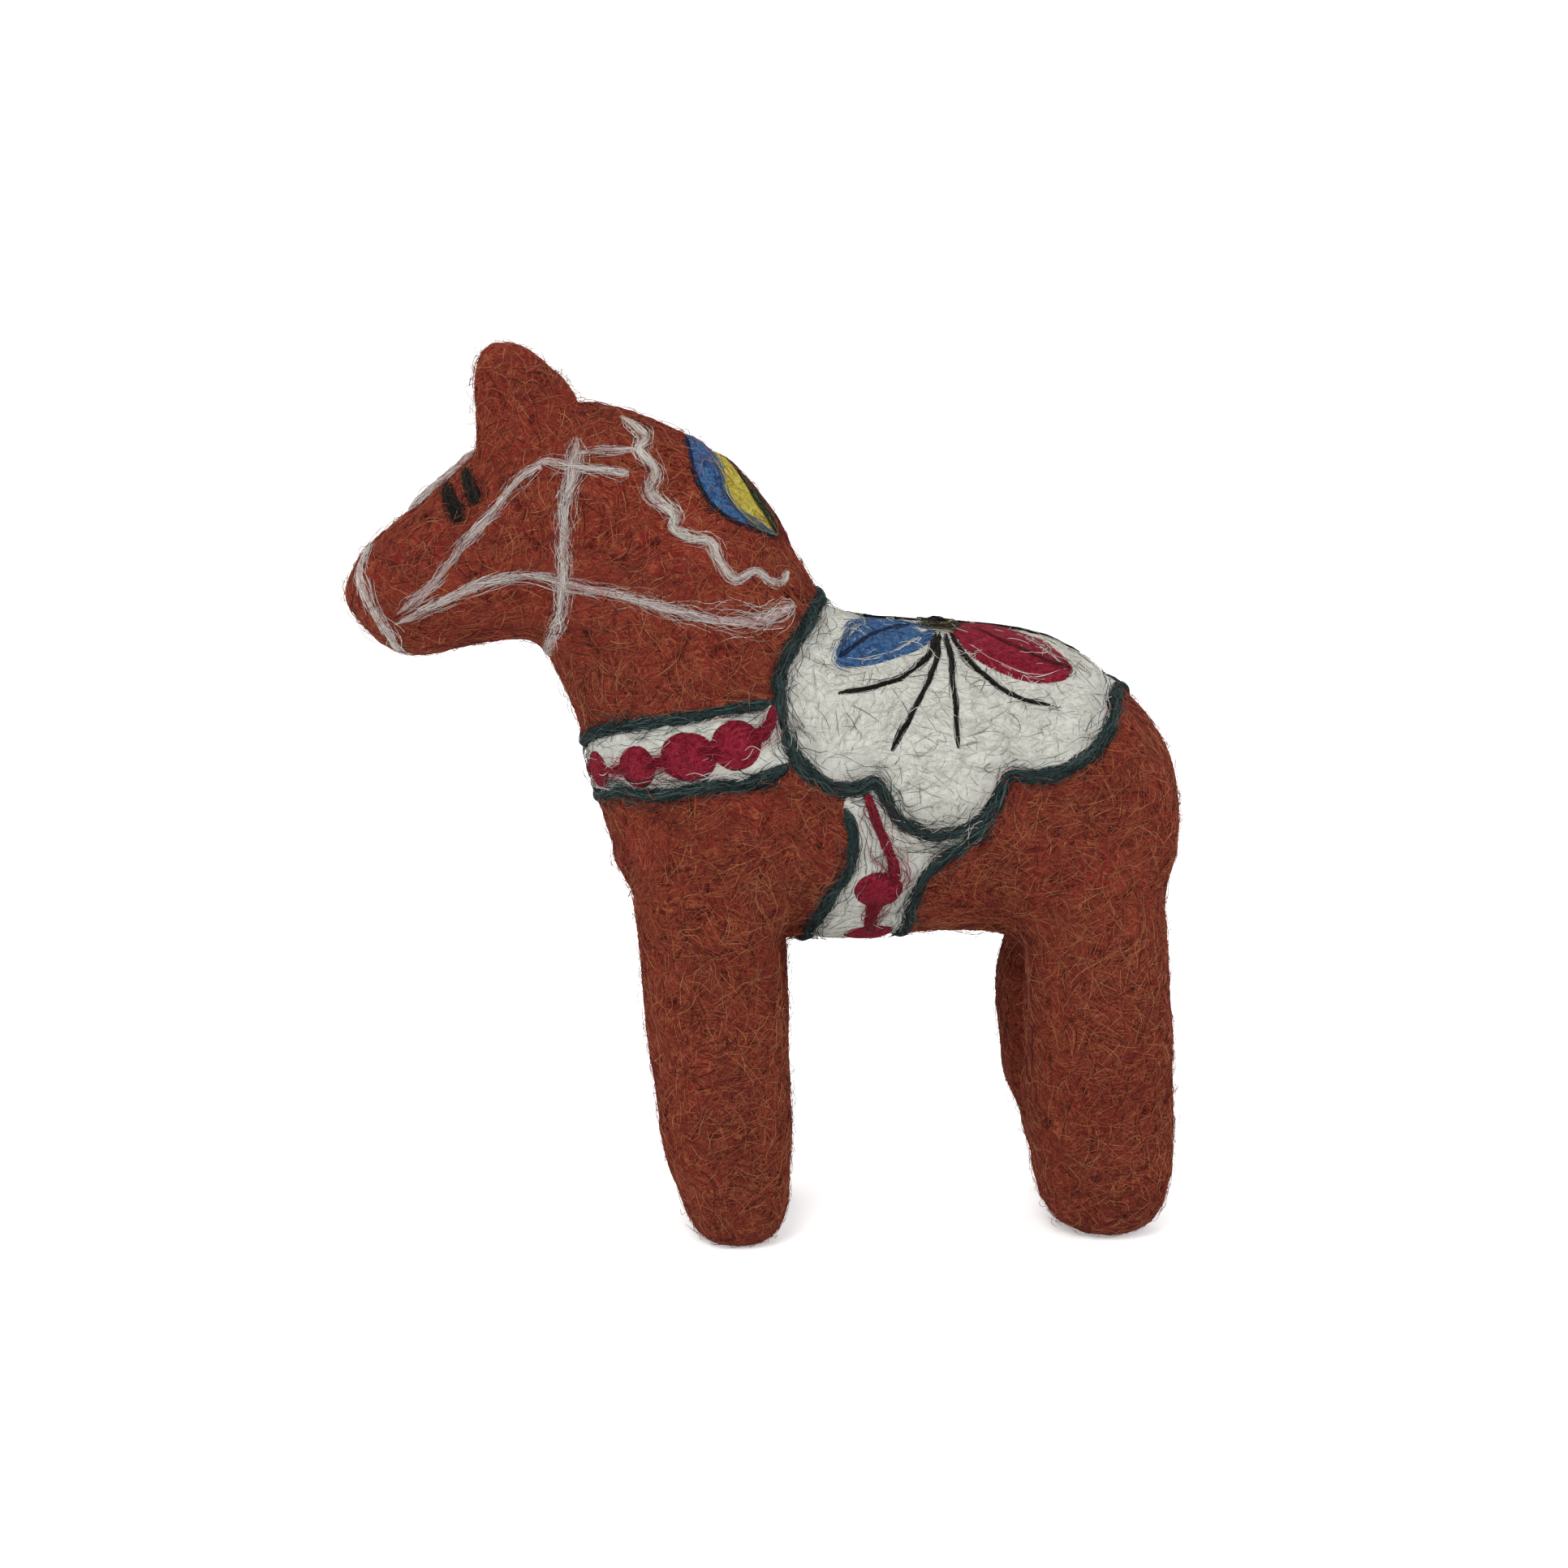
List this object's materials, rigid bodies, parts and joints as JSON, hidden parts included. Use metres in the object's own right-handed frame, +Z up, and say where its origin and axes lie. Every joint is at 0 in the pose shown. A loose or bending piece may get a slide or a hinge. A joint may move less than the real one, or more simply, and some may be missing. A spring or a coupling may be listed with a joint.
{
  "type": "dala horse",
  "caption": "Needle-felted wool dala horse standing on thick round legs, with a felted saddle blanket and flower, breast strap, girth, bridle and mane lines.",
  "frame": {"origin": "on the standing plane, at the centre of the horse's length and width", "axes": "+Z up, the horse faces -X, its left side is at -Y"},
  "size_m": [0.102, 0.0402, 0.1101],
  "materials": {
    "core_wool": "matte felted wool",
    "rust_wool": "matte felted wool",
    "red_rust_wool": "matte felted wool",
    "brown_wool": "matte felted wool",
    "white_wool": "matte felted wool",
    "teal_wool": "matte felted wool",
    "black_wool": "matte felted wool",
    "blue_wool": "matte felted wool",
    "crimson_wool": "matte felted wool",
    "yellow_wool": "matte felted wool",
    "green_wool": "matte felted wool",
    "pink_white_wool": "matte felted wool"
  },
  "bodies": {
    "root": {"body_core": "core_wool", "torso_coat": "rust_wool", "neck_and_head_coat": "red_rust_wool", "front_left_leg_core": "core_wool", "front_right_leg_core": "core_wool", "hind_left_leg_core": "core_wool", "hind_right_leg_core": "core_wool", "front_left_leg_coat": "brown_wool", "front_right_leg_coat": "brown_wool", "hind_left_leg_coat": "brown_wool", "hind_right_leg_coat": "brown_wool", "left_ear": "red_rust_wool", "right_ear": "red_rust_wool", "saddle_blanket": "white_wool", "saddle_edging": "teal_wool", "flower_centre": "black_wool", "flower_stems_left": "black_wool", "flower_stems_right": "black_wool", "flower_spine_stems": "black_wool", "left_blue_petal": "blue_wool", "left_crimson_petal": "crimson_wool", "right_blue_petal": "blue_wool", "right_crimson_petal": "crimson_wool", "breast_strap": "white_wool", "breast_strap_upper_edging": "teal_wool", "breast_strap_lower_edging": "teal_wool", "breast_strap_chain": "crimson_wool", "girth": "white_wool", "girth_front_edging": "teal_wool", "girth_rear_edging": "teal_wool", "left_girth_drop": "crimson_wool", "right_girth_drop": "crimson_wool", "noseband": "pink_white_wool", "left_cheek_strap": "pink_white_wool", "right_cheek_strap": "pink_white_wool", "left_headstall": "pink_white_wool", "right_headstall": "pink_white_wool", "left_crown_line": "pink_white_wool", "right_crown_line": "pink_white_wool", "throat_latch": "pink_white_wool", "left_rein": "pink_white_wool", "right_rein": "pink_white_wool", "forehead_blaze": "pink_white_wool", "left_eye": "black_wool", "right_eye": "black_wool", "left_mane_zigzag": "pink_white_wool", "right_mane_zigzag": "pink_white_wool", "left_blue_crest_leaf": "blue_wool", "right_blue_crest_leaf": "blue_wool", "left_yellow_crest_leaf": "yellow_wool", "right_yellow_crest_leaf": "yellow_wool", "left_green_crest_leaf": "green_wool", "right_green_crest_leaf": "green_wool", "crimson_crest_stripe": "crimson_wool"}
  },
  "joints": []
}
